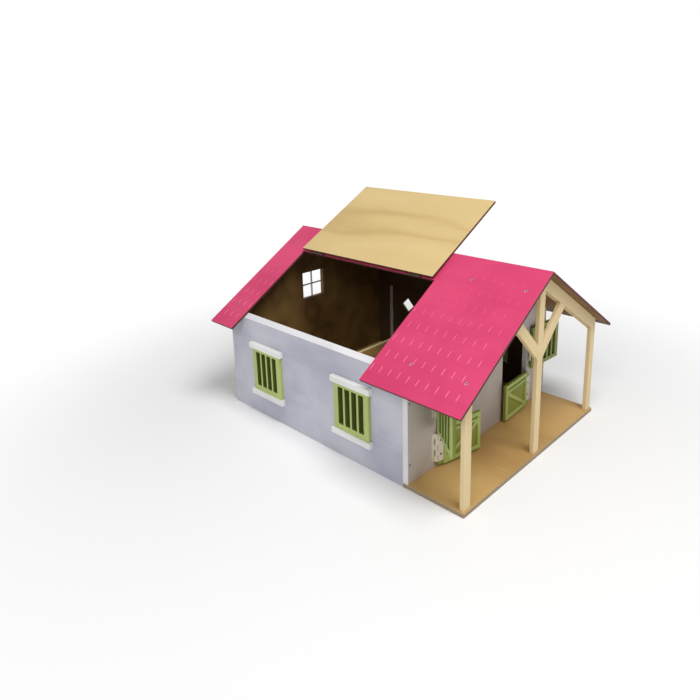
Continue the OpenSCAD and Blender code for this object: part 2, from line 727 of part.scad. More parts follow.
// Store door
module store_door() {
    color(green) store_hinge() difference() {
        leaf_board(store_reach, leaf_bottom, store_leaf_top - leaf_bottom);
        translate([store_reach / 2 + 1, 0, diamond_h]) rotate([0, 45, 0])
            cube([diamond_w / sqrt(2), 4 * leaf_t, diamond_w / sqrt(2)], center = true);
    }
}
module store_door_trim() {
    color(green) store_hinge() border(store_reach, leaf_bottom, store_leaf_top - leaf_bottom);
}
module store_hinge_leaves() {
    color(cream) store_hinge() for (z = store_hinge_zs) leaf_plate(z, store_hinge_len, 3);
}
module store_hinge_screws() {
    color(dark_steel) store_hinge() for (z = store_hinge_zs) leaf_screws(z, store_hinge_len);
}
module store_hinge_wall_plates() {
    color(cream) store_hinge() for (z = store_hinge_zs) wall_plate(z, store_hinge_len, 3);
}
module hinge_pins() {
    color(steel) {
        on_both_sides() left_hinge(0) {
            pin(lower_hinge_z, hinge_len);
            pin(upper_hinge_z, hinge_len);
        }
        store_hinge() for (z = store_hinge_zs) pin(z, store_hinge_len);
        on_flap_axis() flap_hinge_places() rotate([90, 0, 0])
            translate([0, 0, -flap_hinge_len / 2 + 0.2]) cylinder(h = flap_hinge_len - 0.4, d = pin_d);
    }
}

base_plate();
left_wall();
right_wall();
front_gable();
rear_gable();
stall_divider();
stall_back_wall();
ridge_batten();
left_post();
centre_post();
right_post();
left_rafter();
right_rafter();
left_brace();
right_brace();
right_roof_panel();
front_roof_panel();
rear_roof_strip();
ridge_roof_strip();
roof_screws();
gable_screws();
left_rear_window_frame();
left_front_window_frame();
right_window_frame();
left_rear_lintel();
left_front_lintel();
right_lintel();
left_rear_sill();
left_front_sill();
right_sill();
rear_window_cross();
stall_hinge_wall_plates();
store_hinge_wall_plates();
flap_hinge_roof_plates();
hinge_pins();
roof_flap();
flap_hinge_leaves();
left_lower_door();
left_lower_door_trim();
left_lower_hinge_leaf();
left_lower_hinge_screws();
left_upper_door();
left_upper_door_trim();
left_upper_hinge_leaf();
left_upper_hinge_screws();
right_lower_door();
right_lower_door_trim();
right_lower_hinge_leaf();
right_lower_hinge_screws();
right_upper_door();
right_upper_door_trim();
right_upper_hinge_leaf();
right_upper_hinge_screws();
store_door();
store_door_trim();
store_hinge_leaves();
store_hinge_screws();
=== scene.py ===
"""Looks of a wooden toy stable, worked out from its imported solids.

The solids give every size and place. Each board is taken as a copy of its solid, gets eased edges and,
on the roof, engraved shingle strokes, and is then painted, stained or left as bare wood face by face.
Lengths are metres. X is the width, Y the length with the porch at -Y, Z is up.
"""

import json
import logging
import math
from dataclasses import dataclass, field
from enum import Enum
from functools import lru_cache
from typing import Callable, Dict, Iterable, List, Optional, Sequence, Tuple, Union

import bmesh
import bpy
from mathutils import Matrix, Vector


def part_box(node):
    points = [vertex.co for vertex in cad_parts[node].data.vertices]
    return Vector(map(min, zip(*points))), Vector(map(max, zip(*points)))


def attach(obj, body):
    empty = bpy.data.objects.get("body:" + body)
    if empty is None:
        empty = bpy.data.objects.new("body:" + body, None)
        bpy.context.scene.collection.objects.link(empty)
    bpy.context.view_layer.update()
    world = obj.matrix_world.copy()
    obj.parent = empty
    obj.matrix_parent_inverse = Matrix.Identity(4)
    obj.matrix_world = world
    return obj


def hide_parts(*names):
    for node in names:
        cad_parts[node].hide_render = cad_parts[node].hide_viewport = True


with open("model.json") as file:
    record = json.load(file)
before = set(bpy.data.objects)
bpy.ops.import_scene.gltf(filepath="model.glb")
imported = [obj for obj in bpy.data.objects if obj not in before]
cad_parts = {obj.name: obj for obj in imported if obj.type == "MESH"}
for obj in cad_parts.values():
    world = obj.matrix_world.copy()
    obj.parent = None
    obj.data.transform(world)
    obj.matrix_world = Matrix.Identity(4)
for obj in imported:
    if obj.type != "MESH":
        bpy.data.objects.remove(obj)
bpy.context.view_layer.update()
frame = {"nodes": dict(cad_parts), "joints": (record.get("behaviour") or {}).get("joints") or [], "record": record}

LOG = logging.getLogger("stable")
MM = 0.001
FACING = 0.999
TOP_LEVEL = 255
SRGB_KNEE, SRGB_SLOPE, SRGB_OFFSET, SRGB_POWER = 0.04045, 12.92, 0.055, 2.4
Colour = Tuple[float, float, float]
Triple = Tuple[float, float, float]
Number = Union[float, "Sock"]


class Axis(Enum):
    """Directions that boards and their grain run in."""

    ACROSS = (1.0, 0.0, 0.0)
    ALONG = (0.0, 1.0, 0.0)
    UP = (0.0, 0.0, 1.0)

    @property
    def vector(self) -> Vector:
        """The direction as a vector."""
        return Vector(self.value)


# Shader writing


def linear(colour: Colour) -> Tuple[float, float, float, float]:
    """Turns a colour written as on screen into the values that a shader takes.

    Args:
        colour: Red, green and blue from 0 to 255.

    Returns:
        Linear red, green, blue and an alpha of 1.
    """
    shares = [c / TOP_LEVEL for c in colour]
    values = [s / SRGB_SLOPE if s <= SRGB_KNEE else ((s + SRGB_OFFSET) / (1 + SRGB_OFFSET)) ** SRGB_POWER
              for s in shares]
    return (*values, 1.0)


class Sock:
    """A node's output that takes part in Python arithmetic."""

    MIDDLE = 0.5

    def __init__(self, tree: "Tree", socket: bpy.types.NodeSocket) -> None:
        """Keeps the output socket and the tree that it belongs to."""
        self.tree = tree
        self.socket = socket

    def _math(self, operation: str, *values: Number) -> "Sock":
        """Adds a Math node that works on the given values."""
        return self.tree.node("ShaderNodeMath", {"operation": operation}, dict(enumerate(values)))

    def __add__(self, other: Number) -> "Sock":
        """Sum."""
        return self._math("ADD", self, other)

    def __radd__(self, other: Number) -> "Sock":
        """Sum with a number on the left."""
        return self._math("ADD", other, self)

    def __sub__(self, other: Number) -> "Sock":
        """Difference."""
        return self._math("SUBTRACT", self, other)

    def __rsub__(self, other: Number) -> "Sock":
        """Difference from a number."""
        return self._math("SUBTRACT", other, self)

    def __mul__(self, other: Number) -> "Sock":
        """Product."""
        return self._math("MULTIPLY", self, other)

    def __rmul__(self, other: Number) -> "Sock":
        """Product with a number on the left."""
        return self._math("MULTIPLY", other, self)

    def __truediv__(self, other: Number) -> "Sock":
        """Quotient."""
        return self._math("DIVIDE", self, other)

    def zigzag(self, period: float) -> "Sock":
        """Runs up and down between 0 and 1 as the value grows."""
        return self._math("PINGPONG", self, period) / period

    def swing(self, width: float) -> "Sock":
        """How far a value from 0 to 1 lies from its middle, times a width."""
        return (self - self.MIDDLE) * width

    def above(self, low: float, high: float) -> "Sock":
        """0 below low, 1 above high, and smooth between them."""
        settings = {"interpolation_type": "SMOOTHSTEP"}
        return self.tree.node("ShaderNodeMapRange", settings, {0: self, 1: low, 2: high, 3: 0.0, 4: 1.0})


class Tree:
    """The node tree of one material, or of the world."""

    MIX_A, MIX_B, MIX_OUT = 6, 7, 2
    DRIFT = (1.0, 0.37, -0.61)
    COAT_ROUGHNESS = 0.2

    def __init__(self, owner: Union[bpy.types.Material, bpy.types.World]) -> None:
        """Empties the tree of a new material or world."""
        self.owner = owner
        owner.use_nodes = True
        owner.node_tree.nodes.clear()

    def node(self, kind: str, settings: Optional[dict] = None, inputs: Optional[dict] = None,
             output: Union[int, str] = 0) -> Sock:
        """Adds a node.

        Args:
            kind: The node's type name.
            settings: Attributes set first; "stops" fills a colour ramp.
            inputs: Values or sockets, by input name or number.
            output: Name or number of the output that is returned.

        Returns:
            The chosen output.
        """
        made = self.owner.node_tree.nodes.new(kind)
        for key, value in (settings or {}).items():
            if key == "stops":
                self._fill_ramp(made.color_ramp, value)
            else:
                setattr(made, key, value)
        for key, value in (inputs or {}).items():
            if isinstance(value, Sock):
                self.owner.node_tree.links.new(value.socket, made.inputs[key])
            else:
                made.inputs[key].default_value = value
        return Sock(self, made.outputs[output]) if made.outputs else Sock(self, None)

    @staticmethod
    def _fill_ramp(ramp: bpy.types.ColorRamp, stops: Sequence[Tuple[float, Colour]]) -> None:
        """Gives a colour ramp its stops, from places and screen colours."""
        while len(ramp.elements) < len(stops):
            ramp.elements.new(1.0)
        for element, (place, colour) in zip(ramp.elements, stops):
            element.position = place
            element.color = linear(colour)

    def space(self, turn: Matrix, seed: float, stretch: Vector) -> Sock:
        """Object coordinates turned so that X follows the grain, moved by a seed and stretched."""
        coordinates = self.node("ShaderNodeTexCoord", output="Object")
        turned = self.node("ShaderNodeMapping", None, {
            "Vector": coordinates, "Rotation": turn.to_euler(),
            "Location": tuple(seed * share for share in self.DRIFT)})
        return self.node("ShaderNodeVectorMath", {"operation": "MULTIPLY"}, {0: turned, 1: stretch})

    def noise(self, space: Sock, scale: float = 1.0, detail: float = 2.0, distortion: float = 0.0) -> Sock:
        """Smooth noise from 0 to 1 over the given space."""
        return self.node("ShaderNodeTexNoise", {"noise_dimensions": "3D"}, {
            "Vector": space, "Scale": scale, "Detail": detail, "Distortion": distortion})

    def blend(self, share: Number, first: Union[Sock, Colour], second: Union[Sock, Colour]) -> Sock:
        """Mixes two colours, each a socket or a screen colour."""
        pair = [c if isinstance(c, Sock) else linear(c) for c in (first, second)]
        settings = {"data_type": "RGBA", "clamp_factor": True}
        return self.node("ShaderNodeMix", settings,
                         {0: share, self.MIX_A: pair[0], self.MIX_B: pair[1]}, self.MIX_OUT)

    def surface(self, colour: Sock, roughness: Number, height: Sock, relief: float,
                metallic: float = 0.0, coat: float = 0.0, specular: float = 0.5) -> bpy.types.Material:
        """Closes the tree with a shader.

        Args:
            colour: Base colour.
            roughness: Roughness, a number or a socket.
            height: What the bump follows, from 0 to 1.
            relief: Height of the bump in metres.
            metallic: 1 for bare metal.
            coat: Weight of a clear coat.
            specular: Level of the plain reflection.

        Returns:
            The finished material.
        """
        bump = self.node("ShaderNodeBump", None, {"Strength": 1.0, "Distance": relief, "Height": height})
        shader = self.node("ShaderNodeBsdfPrincipled", None, {
            "Base Color": colour, "Roughness": roughness, "Metallic": metallic, "Normal": bump,
            "Coat Weight": coat, "Coat Roughness": self.COAT_ROUGHNESS, "Specular IOR Level": specular})
        self.node("ShaderNodeOutputMaterial", None, {"Surface": shader})
        return self.owner


EVEN = Vector((1, 1, 1))


def turn_to(direction: Vector) -> Matrix:
    """The rotation that brings a direction onto X."""
    return direction.normalized().rotation_difference(Vector((1, 0, 0))).to_matrix()


# Finishes


@dataclass(frozen=True)
class Paint:
    """Sprayed or rolled paint on a thin board: faint grain, soft mottling, a satin skin."""

    name: str
    colour: Colour
    shade: Colour
    grain: Triple = Axis.ALONG.value
    roughness: float = 0.46
    seed: float = 0.0
    mottle: float = 0.55
    sheen: float = 0.35

    CLOUDS = (9, 13, 13)
    STREAKS = (14, 420, 420)
    SKIN = 1500
    STREAKED = 0.22
    RELIEF = 0.06 * MM

    def material(self) -> bpy.types.Material:
        """Writes the paint as a material."""
        tree = Tree(bpy.data.materials.new(self.name))
        turn = turn_to(Vector(self.grain))
        clouds = tree.noise(tree.space(turn, self.seed, Vector(self.CLOUDS)), detail=3)
        streaks = tree.noise(tree.space(turn, self.seed, Vector(self.STREAKS)), detail=3)
        skin = tree.noise(tree.space(turn, self.seed, EVEN), scale=self.SKIN, detail=2)
        patches = clouds.above(0.36, 0.68) * self.mottle + streaks.above(0.45, 0.72) * self.STREAKED
        colour = tree.blend(patches, self.colour, self.shade)
        roughness = self.roughness + clouds.swing(0.16) + skin.swing(0.1)
        return tree.surface(colour, roughness, streaks * 0.7 + skin * 0.3, self.RELIEF, specular=self.sheen)


@dataclass(frozen=True)
class Wood:
    """Bare wood: growth rings cut by the face, fine fibres and pores."""

    name: str
    light: Colour
    mid: Colour
    dark: Colour
    grain: Triple = Axis.ALONG.value
    rings: float = 9.0
    width: float = 26.0
    seed: float = 0.0
    roughness: float = 0.62
    figure: float = 0.62
    blotch: float = 0.38

    LENGTHWISE = 2.2
    FIBRES = (30, 1100, 1100)
    PORES = (90, 2600, 2600)
    CLOUDS = (5, 11, 11)
    RELIEF = 0.08 * MM

    def material(self) -> bpy.types.Material:
        """Writes the wood as a material."""
        tree = Tree(bpy.data.materials.new(self.name))
        turn = turn_to(Vector(self.grain))
        trunk = Vector((self.LENGTHWISE, self.width, self.width))
        bands = (tree.noise(tree.space(turn, self.seed, trunk), detail=1.5) * self.rings).zigzag(1.0)
        fibres = tree.noise(tree.space(turn, self.seed, Vector(self.FIBRES)), detail=3)
        pores = tree.noise(tree.space(turn, self.seed + 1, Vector(self.PORES)), detail=1)
        clouds = tree.noise(tree.space(turn, self.seed, Vector(self.CLOUDS)), detail=2)
        body = tree.node("ShaderNodeValToRGB", {"stops": [
            (0.0, self.light), (0.62, self.mid), (0.93, self.dark)]},
            {0: bands * self.figure + clouds * self.blotch + fibres.swing(0.28)})
        colour = tree.blend(pores.above(0.63, 0.78) * 0.5, body, self.dark)
        roughness = self.roughness + fibres.swing(0.2)
        return tree.surface(colour, roughness, fibres * 0.85 + bands * 0.15, self.RELIEF, specular=0.35)


@dataclass(frozen=True)
class Groove:
    """The floor of an engraved stroke: paler than the paint, partly its own colour and partly a painted highlight,
    which fades into the paint from height low to height high.
    """

    name: str
    # The pale floor colour: partly the stroke's own colour, partly painted highlight.
    bare: Colour
    filled: Colour
    low: float = 0.165
    high: float = 0.25

    FUZZ = 700
    ROUGHNESS = 0.6
    RELIEF = 0.05 * MM

    def material(self) -> bpy.types.Material:
        """Writes the groove as a material."""
        tree = Tree(bpy.data.materials.new(self.name))
        place = tree.node("ShaderNodeTexCoord", output="Object")
        height = tree.node("ShaderNodeSeparateXYZ", None, {0: place}, "Z")
        fuzz = tree.noise(place, scale=self.FUZZ, detail=3)
        # Painted highlight: the floor is pale at low heights and takes the paint colour at high ones.
        share = height.above(self.low, self.high) + fuzz.swing(0.8)
        colour = tree.blend(share, self.bare, self.filled)
        return tree.surface(colour, self.ROUGHNESS + fuzz.swing(0.2), fuzz, self.RELIEF, specular=0.3)


@dataclass(frozen=True)
class BoardEdge:
    """The sawn edge of a laminated board: thin layers, light and dark in turn."""

    name: str
    light: Colour
    dark: Colour
    thickness: Triple
    layer: float = 1.3 * MM
    seed: float = 0.0

    WANDER = (60, 40, 40)
    FIBRES = (1400, 500, 500)
    ROUGHNESS = 0.7
    RELIEF = 0.15 * MM

    def material(self) -> bpy.types.Material:
        """Writes the layered edge as a material."""
        tree = Tree(bpy.data.materials.new(self.name))
        turn = turn_to(Vector(self.thickness))
        place = tree.space(turn, 0.0, EVEN)
        wander = tree.noise(tree.space(turn, self.seed, Vector(self.WANDER)), detail=2)
        split = tree.node("ShaderNodeSeparateXYZ", None, {0: place})
        layers = (split / self.layer + wander * 0.5).zigzag(1.0)
        fibres = tree.noise(tree.space(turn, self.seed, Vector(self.FIBRES)), detail=2)
        colour = tree.blend(layers.above(0.35, 0.65) * 0.8 + fibres.swing(0.7), self.light, self.dark)
        return tree.surface(colour, self.ROUGHNESS + fibres.swing(0.2), fibres * 0.6 + layers * 0.4,
                            self.RELIEF, specular=0.3)


@dataclass(frozen=True)
class Metal:
    """Plated, darkened or enamelled metal with fine scratches."""

    name: str
    colour: Colour
    worn: Colour
    metallic: float
    roughness: float
    coat: float = 0.0

    SCRATCHES = (500, 2500, 2500)
    SPOTS = (260, 260, 260)
    RELIEF = 0.02 * MM

    def material(self) -> bpy.types.Material:
        """Writes the metal as a material."""
        tree = Tree(bpy.data.materials.new(self.name))
        turn = turn_to(Axis.UP.vector)
        rub = tree.noise(tree.space(turn, 3.0, Vector(self.SCRATCHES)), detail=3)
        spots = tree.noise(tree.space(turn, 5.0, Vector(self.SPOTS)), detail=4)
        colour = tree.blend(spots.above(0.5, 0.8) * 0.6, self.colour, self.worn)
        roughness = self.roughness + rub.swing(0.24)
        return tree.surface(colour, roughness, rub * 0.5 + spots * 0.5, self.RELIEF,
                            metallic=self.metallic, coat=self.coat)


Finish = Union[Paint, Wood, Groove, BoardEdge, Metal]


@lru_cache(maxsize=None)
def made(finish: Finish) -> bpy.types.Material:
    """The material of a finish, written once."""
    return finish.material()


@dataclass(frozen=True)
class Coat:
    """What covers a board: one finish for its edges, others for faces that look a given way, one for cuts."""

    edges: Finish
    faces: Tuple[Tuple[Triple, Finish], ...] = ()
    cuts: Optional[Finish] = None

    NEAR = 0.8

    def finishes(self) -> List[Finish]:
        """All finishes in slot order: edges, faces, cuts."""
        return [self.edges, *[finish for _, finish in self.faces], self.cuts or self.edges]

    def slot_of(self, normal: Vector) -> int:
        """The slot of a face that looks along normal."""
        for number, (toward, _) in enumerate(self.faces, 1):
            if normal.dot(Vector(toward).normalized()) > self.NEAR:
                return number
        return 0


# Mesh work

SHARP = math.radians(25)
FLAT = math.radians(0.5)
MERGE = 1e-6
SHORTEST = 1.6 * MM
SLOTS = {part["node"]: part["material_slot"] for part in frame["record"]["subparts"]}
BODIES = {node: body for body, nodes in frame["record"]["behaviour"]["bodies"].items() for node in nodes}


class Piece:
    """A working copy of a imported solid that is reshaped, coated and then stands for it."""

    def __init__(self, node: str) -> None:
        """Copies the node's mesh and joins its loose triangles into plain faces."""
        self.node = node
        self.mesh = bmesh.new()
        self.mesh.from_mesh(frame["nodes"][node].data)
        bmesh.ops.remove_doubles(self.mesh, verts=self.mesh.verts, dist=MERGE)
        bmesh.ops.dissolve_limit(self.mesh, angle_limit=FLAT, verts=self.mesh.verts, edges=self.mesh.edges)
        self.mark = self.mesh.faces.layers.int.new("cut")

    def ease(self, width: float, segments: int = 2) -> "Piece":
        """Rounds the long sharp edges.

        Args:
            width: How far the rounding reaches into each face.
            segments: Steps across the rounding.

        Returns:
            The piece.
        """
        edges = [e for e in self.mesh.edges
                 if e.is_manifold and e.calc_length() > SHORTEST and e.calc_face_angle(0.0) > SHARP]
        bmesh.ops.bevel(self.mesh, geom=edges, offset=width, segments=segments, profile=0.5,
                        affect="EDGES", material=-1, clamp_overlap=True)
        return self

    def sink(self, faces: Callable[[bmesh.types.BMFace], bool], planes: Iterable[Tuple[Vector, Vector]],
             inside: Callable[[Vector], bool], depth: float, slope: float) -> "Piece":
        """Cuts a face along planes and sinks some of the patches, as an engraving cutter does.

        Args:
            faces: Says whether a face is cut.
            planes: A point and a normal for each cut.
            inside: Says whether a patch with this middle is sunk.
            depth: How deep the patches go.
            slope: Width of the sloping rim.

        Returns:
            The piece, its sunk patches marked as cuts.
        """
        for point, normal in planes:
            cut = [f for f in self.mesh.faces if faces(f)]
            edges = {e for f in cut for e in f.edges}
            verts = {v for f in cut for v in f.verts}
            bmesh.ops.bisect_plane(self.mesh, geom=[*cut, *edges, *verts], dist=MERGE,
                                   plane_co=point, plane_no=normal)
        sunk = [f for f in self.mesh.faces if faces(f) and inside(f.calc_center_median())]
        rim = bmesh.ops.inset_region(self.mesh, faces=sunk, thickness=slope, depth=-depth,
                                     use_even_offset=True, use_boundary=True)["faces"]
        for f in [*sunk, *rim]:
            f[self.mark] = 1
        return self

    def coat(self, coat: Coat) -> "Piece":
        """Gives every face the slot that its direction, or its being a cut, asks for."""
        self.mesh.normal_update()
        last = len(coat.finishes()) - 1
        for f in self.mesh.faces:
            f.material_index = last if f[self.mark] else coat.slot_of(f.normal)
        return self

    def done(self, finishes: Sequence[Finish], smooth: bool = False) -> bpy.types.Object:
        """Makes the object, which replaces its node and rides with it.

        Args:
            finishes: One finish for each material slot.
            smooth: Whether round stretches are shaded smooth.

        Returns:
            The object.
        """
        self.mesh.faces.layers.int.remove(self.mark)
        data = bpy.data.meshes.new(f"{self.node}_finished")
        self.mesh.to_mesh(data)
        self.mesh.free()
        for finish in finishes:
            data.materials.append(made(finish))
        if smooth:
            data.shade_smooth()
            data.set_sharp_from_angle(angle=SHARP)
        made_object = bpy.data.objects.new(f"{self.node}_finished", data)
        bpy.context.scene.collection.objects.link(made_object)
        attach(made_object, BODIES[self.node])
        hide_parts(self.node)
        return made_object

    def dressed(self, coat: Coat, smooth: bool = False) -> bpy.types.Object:
        """Coats the piece and makes its object."""
        return self.coat(coat).done(coat.finishes(), smooth)


# The stable's own finishes

CREAM = Paint("cream_paint", (240, 240, 238), (224, 223, 218), roughness=0.42)
GREEN = Paint("green_paint", (184, 202, 120), (160, 180, 98), roughness=0.42, grain=Axis.UP.value)
BOARD_GREEN = Paint("green_board_paint", (152, 162, 74), (124, 136, 54), grain=Axis.UP.value, seed=6.0)
# Dark green for the side faces inside slots: painted shade in the recesses.
SLOT_SHADE_GREEN = Paint("green_slot_painted_shade", (102, 114, 48), (74, 86, 32), roughness=0.6, grain=Axis.UP.value)
LAVENDER = Paint("lavender_paint", (202, 202, 213), (176, 177, 192), roughness=0.5, mottle=0.9)
# The lavender warmed towards beige for the gables: painted warm bounce light from the floor.
LAVENDER_BOUNCE = Paint("lavender_paint_painted_bounce", (204, 196, 192), (186, 176, 172), grain=Axis.ACROSS.value)
PRIMED = Paint("primed_edge", (234, 232, 234), (206, 204, 210), roughness=0.55, seed=2.0)
PINK = Paint("pink_paint", (220, 73, 117), (203, 60, 104), roughness=0.42, seed=1.0, mottle=0.7, sheen=0.18)
# Stroke floors pale lower down the roof, partly as a painted highlight; on the flap the fade runs the other way.
STROKE = Groove("engraved_stroke", (238, 134, 166), (222, 78, 120))
FLAP_STROKE = Groove("engraved_flap_stroke", (238, 134, 166), (222, 78, 120), low=0.33, high=0.27)
# Bare brown wood inside the stable, kept darker than the floor's plywood, partly as painted shade of the dim
# inside.
INSIDE = Wood("inside_wood", (134, 104, 58), (114, 86, 46), (86, 62, 32), rings=5, width=14, seed=3.0)
# A still darker copy for the right wall's inside and the store door's inside: painted shade under the right roof.
SHADED_INSIDE_WOOD = Wood("inside_wood_painted_shade", (80, 58, 34), (64, 46, 26), (46, 32, 18), rings=5, width=14, seed=7.0)
# Roof underside wood, much darker than the flap's pale underside of the same boards: painted shade under the roof.
SHADED_SOFFIT = Wood("underside_wood_painted_shade", (136, 104, 62), (118, 88, 50), (92, 66, 36), rings=5, width=12, seed=9.0)
PLY = Wood("plywood_face", (212, 176, 116), (196, 158, 98), (160, 120, 68), rings=3, width=12, seed=5.0,
           figure=0.35, blotch=0.65)
PALE_PLY = Wood("pale_plywood", (221, 196, 141), (213, 186, 129), (194, 163, 106), rings=5, width=11,
                seed=8.0)
PARTITION = Wood("partition_wood", (176, 142, 90), (158, 124, 74), (128, 96, 54), rings=7, width=18,
                 seed=6.0)
PLY_EDGE = BoardEdge("plywood_edge", (176, 160, 134), (112, 98, 82), Axis.UP.value)
PARTITION_EDGE = BoardEdge("partition_edge", (214, 196, 150), (176, 150, 104), Axis.ACROSS.value)
# Steel of the flap's hinges, darkened as painted shade where they sit under the flap.
SHADED_STEEL = Metal("steel_painted_shade", (96, 88, 84), (64, 56, 52), 1.0, 0.42)
DARK_STEEL = Metal("darkened_steel", (70, 66, 62), (44, 40, 38), 1.0, 0.42)
# Pink-painted screw heads of the roof, much lighter than the roof's pink: painted highlight.
PINK_SCREW_HIGHLIGHT = Metal("pink_screw_painted_highlight", (240, 158, 184), (206, 96, 132), 0.0, 0.34, coat=0.5)
ENAMEL = Metal("cream_enamel", (228, 224, 208), (200, 192, 172), 0.0, 0.38, coat=0.3)


def pine(name: str, grain: Vector, seed: float) -> Wood:
    """Planed pine with its grain along the given direction."""
    return Wood(name, (230, 208, 164), (224, 200, 152), (206, 176, 124), tuple(grain), rings=3,
                width=40, seed=seed, figure=0.4, blotch=0.4)


@dataclass
class Roof:
    """Pink boards on both slopes, with engraved shingle strokes and sunk screws."""

    row_pitch: float = 26.0 * MM
    lowest_row: float = 218.3 * MM
    rows: int = 8
    column_pitch: float = 15.35 * MM
    first_column: float = -236.4 * MM
    stroke_length: float = 10.0 * MM
    stroke_width: float = 1.1 * MM
    stroke_depth: float = 0.35 * MM
    stroke_rim: float = 0.15 * MM
    margin: float = 2.0 * MM
    ease: float = 0.5 * MM
    pitch: float = field(init=False)
    ridge: float = field(init=False)
    pieces: Dict[str, Piece] = field(default_factory=dict)

    def __post_init__(self) -> None:
        """Reads the pitch and the ridge from the full right slope."""
        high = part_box("right_roof_panel")[1]
        verts = frame["nodes"]["right_roof_panel"].data.vertices
        eave = max((v.co for v in verts), key=lambda co: (round(co.x, 5), co.z))
        self.ridge = high.z
        self.pitch = math.atan2(self.ridge - eave.z, high.x)

    def slope(self, side: int) -> Matrix:
        """The frame of a slope: X along the ridge, Y down the slope, Z outwards.

        Args:
            side: -1 for the left slope, 1 for the right one.

        Returns:
            The matrix from the slope's frame to the row frame.
        """
        down = Vector((side * math.cos(self.pitch), 0, -math.sin(self.pitch)))
        out = Vector((side * math.sin(self.pitch), 0, math.cos(self.pitch)))
        along = down.cross(out)
        place = Matrix((along, down, out)).transposed().to_4x4()
        place.translation = (0, 0, self.ridge)
        return place

    def laid_back(self) -> Matrix:
        """Turns the shut flap to where it rests."""
        hinge = next(j for j in frame["joints"] if j["child"] == "flap")
        angle = -math.radians(hinge["range_deg"][1])
        turn = Matrix.Rotation(angle, 4, Vector(hinge["axis"]))
        pivot = Matrix.Translation(Vector(hinge["pos_m"]))
        return pivot @ turn @ pivot.inverted()

    def strokes(self) -> List[Tuple[float, float]]:
        """Middles of all strokes, as places along Y and down the slope."""
        half = -self.first_column + self.column_pitch / 2
        count = int(2 * half / self.column_pitch) + 1
        return [(self.first_column + (i + 0.5 * (row % 2)) * self.column_pitch,
                 self.lowest_row - row * self.row_pitch)
                for row in range(self.rows) for i in range(count)]

    def places(self) -> Dict[str, Matrix]:
        """Each board with the frame of its slope."""
        left, right = self.slope(-1), self.slope(1)
        return {"front_roof_panel": left, "rear_roof_strip": left, "ridge_roof_strip": left,
                "right_roof_panel": right, "roof_flap": self.laid_back() @ left}

    def engrave(self, piece: Piece, place: Matrix) -> None:
        """Sinks the shingle strokes that lie wholly on a board.

        Args:
            piece: The board.
            place: Frame of its slope.
        """
        inverse = place.inverted()
        along, down, out = (place.to_3x3() @ axis.vector for axis in Axis)
        local = [inverse @ v.co for v in piece.mesh.verts]
        sign = 1 if along.y > 0 else -1
        low = Vector((min(p.x for p in local), min(p.y for p in local)))
        high = Vector((max(p.x for p in local), max(p.y for p in local)))
        reach = Vector((self.stroke_width, self.stroke_length)) / 2
        kept = [(sign * y, s) for y, s in self.strokes()
                if low.x + self.margin < sign * y - reach.x and sign * y + reach.x < high.x - self.margin
                and low.y + self.margin < s - reach.y and s + reach.y < high.y - self.margin]
        columns = sorted({round(x, 6) for x, _ in kept})
        rows = sorted({round(y, 6) for _, y in kept})
        planes = [(place @ Vector((x + k * reach.x, 0, 0)), along) for x in columns for k in (-1, 1)]
        planes += [(place @ Vector((0, y + k * reach.y, 0)), down) for y in rows for k in (-1, 1)]

        def inside(point: Vector) -> bool:
            """Whether a patch lies in a stroke."""
            p = inverse @ point
            return any(abs(p.x - x) < reach.x and abs(p.y - y) < reach.y for x, y in kept)

        piece.sink(lambda f: f.normal.dot(out) > FACING, planes, inside, self.stroke_depth, self.stroke_rim)

    def build(self) -> None:
        """Eases and engraves the boards."""
        for node, place in self.places().items():
            self.pieces[node] = Piece(node).ease(self.ease)
            self.pieces[node].mesh.normal_update()
            self.engrave(self.pieces[node], place)

    def dress(self) -> List[bpy.types.Object]:
        """Paints the upper faces pink and leaves the lower ones bare wood, darkened as painted shade except on the
        flap.
        """
        made_objects = []
        for node, place in self.places().items():
            out = (place.to_3x3() @ Axis.UP.vector).normalized()
            # Undersides other than the flap's take the darkened wood, which is painted shade.
            below, cuts = (PALE_PLY, FLAP_STROKE) if node == "roof_flap" else (SHADED_SOFFIT, STROKE)
            edge = BoardEdge(f"{node}_edge", (112, 62, 58), (66, 34, 34), tuple(out), seed=1.0)
            coat = Coat(edge, ((tuple(out), PINK), (tuple(-out), below)), cuts)
            made_objects.append(self.pieces[node].dressed(coat))
        return made_objects


